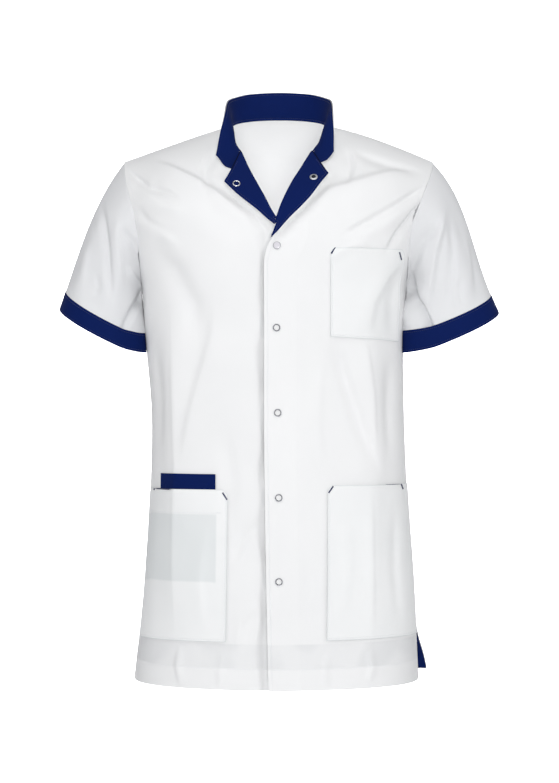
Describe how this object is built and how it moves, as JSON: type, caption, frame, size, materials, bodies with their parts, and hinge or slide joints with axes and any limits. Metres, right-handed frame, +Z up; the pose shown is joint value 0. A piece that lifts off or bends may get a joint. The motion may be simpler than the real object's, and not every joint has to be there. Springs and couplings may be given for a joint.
{
  "type": "medical tunic",
  "caption": "Short-sleeved white medical tunic in worn, hollow form, with a snap front, open collar, patch pockets and navy contrast pieces.",
  "frame": {"origin": "on the body's centre line between the two high shoulder points, where the wearer's shoulders hold the garment", "axes": "+Z up, -Y towards the garment's front, +X towards the wearer's left"},
  "size_m": [0.6216, 0.2553, 0.8384],
  "materials": {
    "white_cloth": "matt",
    "navy_cloth": "matt",
    "snap_steel": "satin"
  },
  "bodies": {
    "root": {"back": "white_cloth", "collar_inner": "navy_cloth", "collar_outer": "white_cloth", "cuff_left": "navy_cloth", "cuff_right": "navy_cloth", "front_left": "white_cloth", "front_right": "white_cloth", "lapel_facing_left": "navy_cloth", "lapel_facing_right": "navy_cloth", "lapel_left": "white_cloth", "lapel_right": "white_cloth", "pocket_chest": "white_cloth", "pocket_inner": "navy_cloth", "pocket_lower_left": "white_cloth", "pocket_lower_right": "white_cloth", "sleeve_left": "white_cloth", "sleeve_right": "white_cloth", "snap_front_1": "snap_steel", "snap_front_2": "snap_steel", "snap_front_3": "snap_steel", "snap_front_4": "snap_steel", "snap_front_5": "snap_steel", "snap_lapel_left": "snap_steel", "snap_lapel_right": "snap_steel", "vent_facing_left": "navy_cloth", "vent_facing_right": "navy_cloth"}
  },
  "joints": []
}
